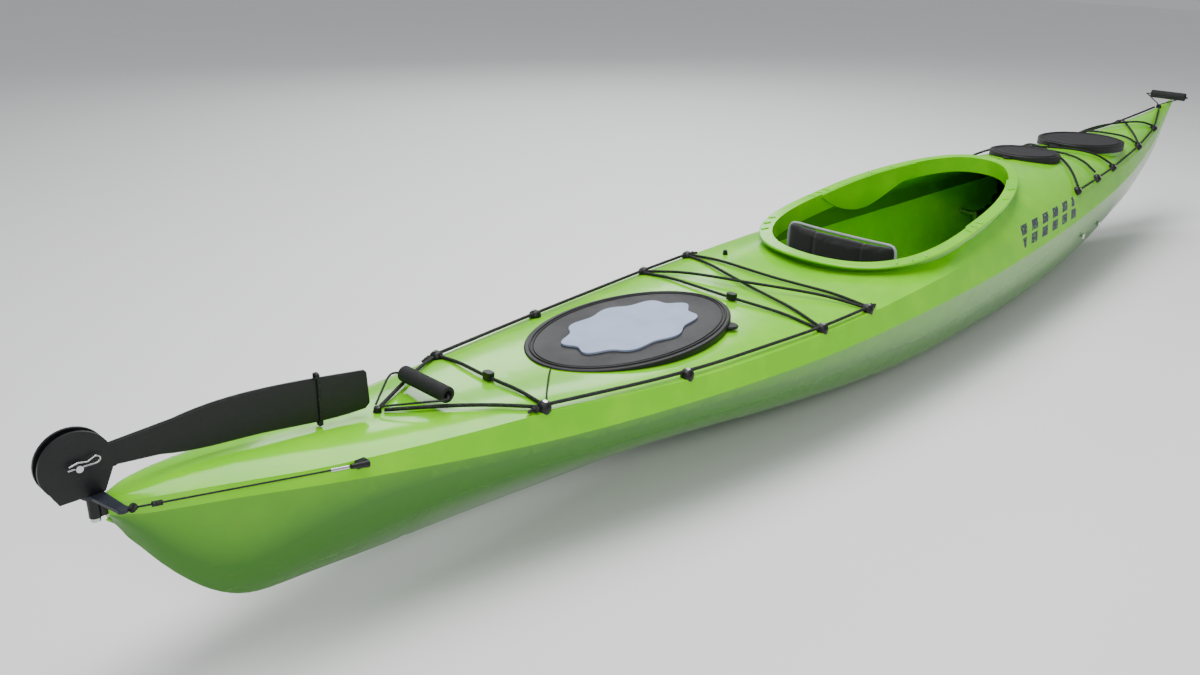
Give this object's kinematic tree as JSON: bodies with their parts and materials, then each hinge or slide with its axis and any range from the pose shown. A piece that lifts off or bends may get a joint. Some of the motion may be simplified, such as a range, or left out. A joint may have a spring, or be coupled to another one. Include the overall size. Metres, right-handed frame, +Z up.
{
  "type": "sit-in touring kayak",
  "caption": "Sit-in touring kayak with oval cockpit, hatches with rubber lids, deck lines, grab toggles, padded seat, foot pedals and a rudder stowed on the stern deck.",
  "frame": {"origin": "on the plane that the keel's flat rests on, midway between the rudder head's aft edge and the bow tip, on the centre line", "axes": "+X toward the bow, +Y to port, +Z up"},
  "size_m": [4.374, 0.59, 0.4824],
  "materials": {
    "hull_green": "glossy lime-green polyethylene",
    "foam_black": "closed-cell foam, matt",
    "lid_rubber": "charcoal rubber",
    "panel_grey": "grey-blue moulded panel",
    "black_plastic": "moulded black nylon",
    "fabric_black": "black woven fabric",
    "piping_grey": "grey bias piping",
    "cord_black": "braided cord, black with light flecks",
    "steel": "stainless steel",
    "alloy": "anodised aluminium",
    "yoke_grey": "dark blue-grey composite"
  },
  "bodies": {
    "hull": {"hull_shell": "hull_green", "deck_shell": "hull_green", "cockpit_coaming": "hull_green", "thigh_braces": "foam_black", "aft_bulkhead": "foam_black", "fore_bulkhead": "foam_black", "rear_hatch_rim": "hull_green", "day_hatch_rim": "hull_green", "front_hatch_rim": "hull_green", "seat_pan": "hull_green", "seat_pad": "fabric_black", "backrest_bracket": "black_plastic", "backrest_pivot": "steel", "foot_brace_rails": "alloy", "foot_brace_bolts": "steel", "deck_guides": "black_plastic", "guide_screws": "steel", "aft_perimeter_line": "cord_black", "fore_perimeter_line": "cord_black", "aft_bungees": "cord_black", "fore_bungees": "cord_black", "stern_lines": "cord_black", "stern_anchor": "black_plastic", "bow_anchor": "black_plastic", "deck_eye": "black_plastic", "bungee_hook": "black_plastic", "bungee_lock": "black_plastic", "stern_lock": "black_plastic", "rudder_gudgeon": "black_plastic", "port_rudder_cable": "steel", "starboard_rudder_cable": "steel", "cable_glands": "black_plastic"},
    "rear_lid": {"rear_hatch_lid": "lid_rubber", "hatch_panel": "panel_grey"},
    "day_lid": {"day_hatch_lid": "lid_rubber"},
    "front_lid": {"front_hatch_lid": "lid_rubber"},
    "backrest": {"backrest_pad": "fabric_black", "backrest_piping": "piping_grey", "backrest_frame": "black_plastic"},
    "port_pedal": {"port_pedal": "black_plastic"},
    "starboard_pedal": {"starboard_pedal": "black_plastic"},
    "stern_toggle": {"stern_toggle": "foam_black", "stern_toggle_cord": "cord_black"},
    "bow_toggle": {"bow_toggle": "foam_black", "bow_toggle_cord": "cord_black"},
    "rudder_head": {"rudder_head": "black_plastic", "rudder_yoke": "yoke_grey", "pintle_pin": "steel", "pivot_pin": "steel", "retaining_clip": "steel"},
    "rudder_blade": {"rudder_blade": "black_plastic", "blade_tie": "cord_black"}
  },
  "joints": [
    {"name": "rudder_steer", "type": "hinge", "parent": "hull", "child": "rudder_head", "pos_m": [-2.121, 0, 0.33], "axis": [0, 0, 1], "range_deg": [-35, 35], "deforming": ["port_rudder_cable", "starboard_rudder_cable"]},
    {"name": "rudder_lift", "type": "hinge", "parent": "rudder_head", "child": "rudder_blade", "pos_m": [-2.137, 0, 0.396], "axis": [0, -1, 0], "range_deg": [0, 235]},
    {"name": "port_pedal_slide", "type": "slide", "parent": "hull", "child": "port_pedal", "axis": [1, 0, 0], "range_m": [-0.05, 0.05]},
    {"name": "starboard_pedal_slide", "type": "slide", "parent": "hull", "child": "starboard_pedal", "axis": [1, 0, 0], "range_m": [-0.05, 0.05]},
    {"name": "backrest_fold", "type": "hinge", "parent": "hull", "child": "backrest", "pos_m": [-0.262, 0, 0.112], "axis": [0, 1, 0], "range_deg": [-5, 55]},
    {"name": "rear_lid_lift", "type": "slide", "parent": "hull", "child": "rear_lid", "axis": [-0.0262, 0, 0.9997], "range_m": [0, 0.12]},
    {"name": "day_lid_lift", "type": "slide", "parent": "hull", "child": "day_lid", "axis": [0.0279, 0, 0.9996], "range_m": [0, 0.12]},
    {"name": "front_lid_lift", "type": "slide", "parent": "hull", "child": "front_lid", "axis": [0.0349, 0, 0.9994], "range_m": [0, 0.12]},
    {"name": "stern_toggle_swing", "type": "hinge", "parent": "hull", "child": "stern_toggle", "pos_m": [-1.65, 0, 0.3244], "axis": [0, -1, 0], "range_deg": [0, 80]},
    {"name": "bow_toggle_swing", "type": "hinge", "parent": "hull", "child": "bow_toggle", "pos_m": [2.052, 0, 0.4424], "axis": [0, -1, 0], "range_deg": [0, 120]}
  ],
  "couplings": [
    {"joint": "port_pedal_slide", "follows": "rudder_steer", "m_per_rad": 0.071},
    {"joint": "starboard_pedal_slide", "follows": "rudder_steer", "m_per_rad": -0.071}
  ]
}
